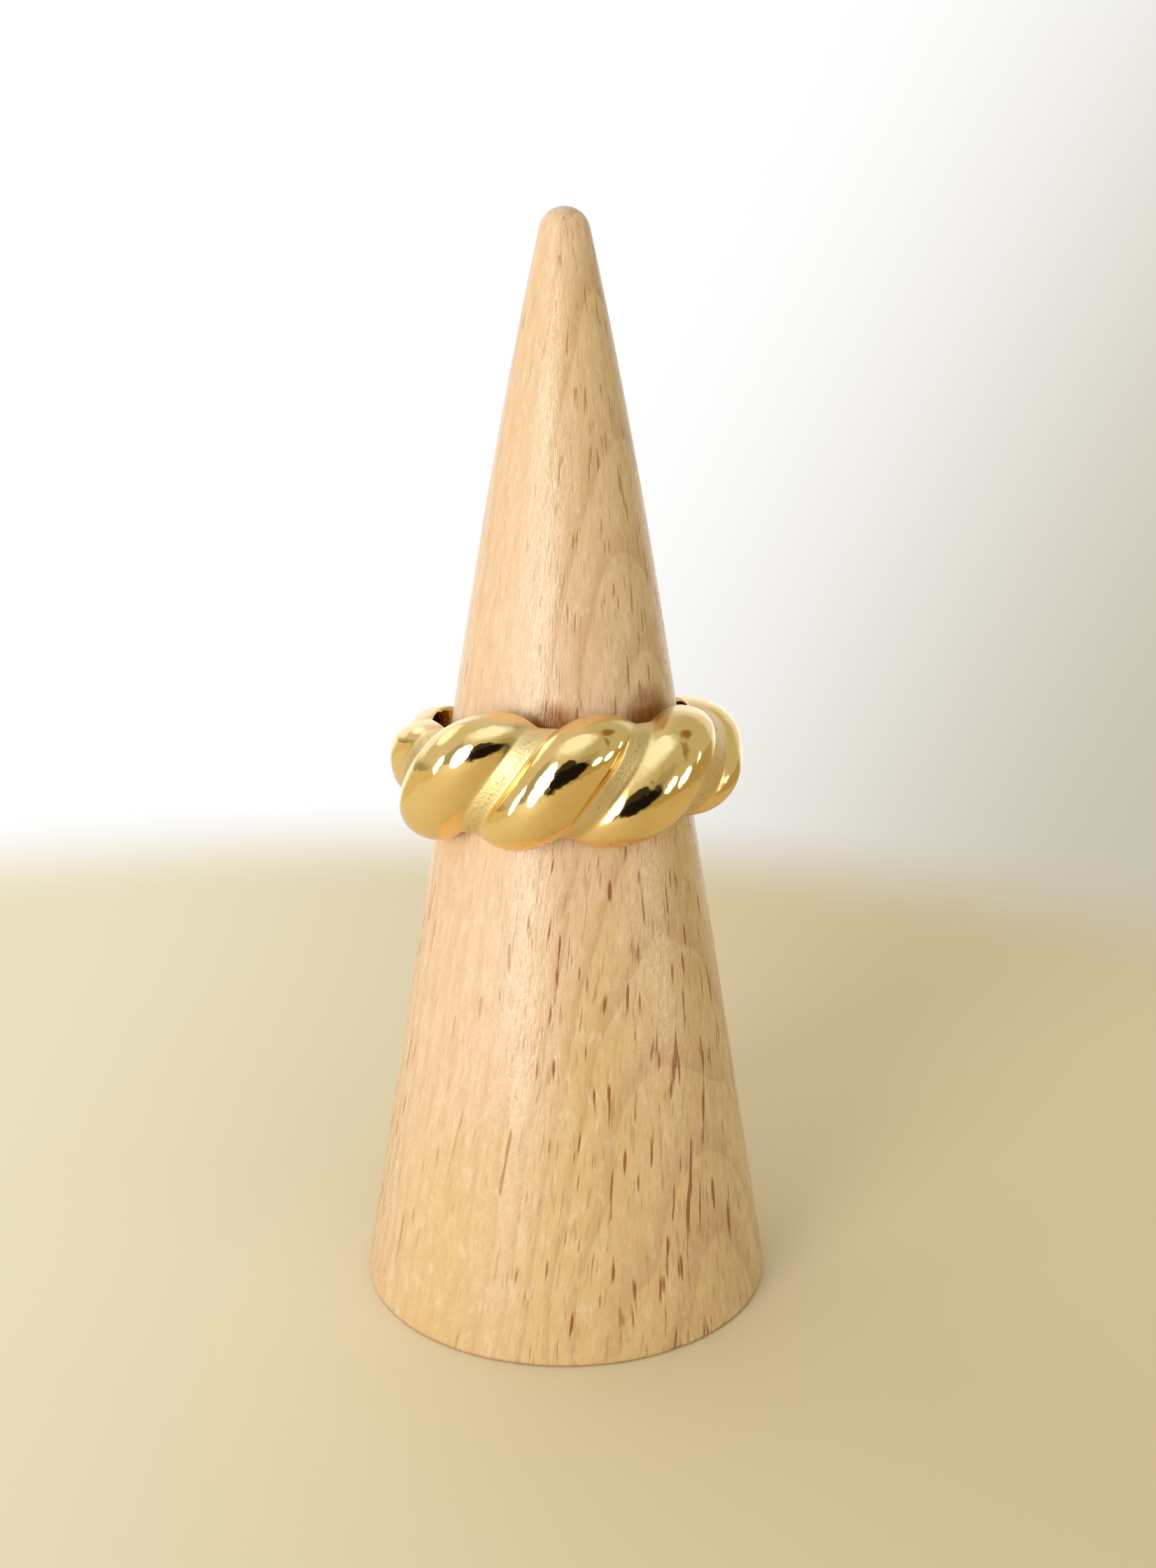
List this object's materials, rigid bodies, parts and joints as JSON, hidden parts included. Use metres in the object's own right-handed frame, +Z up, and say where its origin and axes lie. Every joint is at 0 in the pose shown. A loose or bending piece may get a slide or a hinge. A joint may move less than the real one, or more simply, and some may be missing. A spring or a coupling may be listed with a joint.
{
  "type": "twisted rope ring on a ring cone",
  "caption": "Polished gold rope-twist band with fat slanted lobes, resting on the taper of a plain turned wooden ring cone.",
  "frame": {"origin": "middle of the cone's foot, on the surface it stands on", "axes": "+Z up the cone, from its foot to its tip; -Y to the front of the ring; +X to the right as seen from the front"},
  "size_m": [0.0302, 0.0302, 0.0776],
  "materials": {
    "beech": "fine sanded, bare wood with short dark pores",
    "polished_gold": "mirror-polished yellow gold"
  },
  "bodies": {
    "root": {"ring_cone": "beech", "twisted_ring": "polished_gold"}
  },
  "joints": []
}
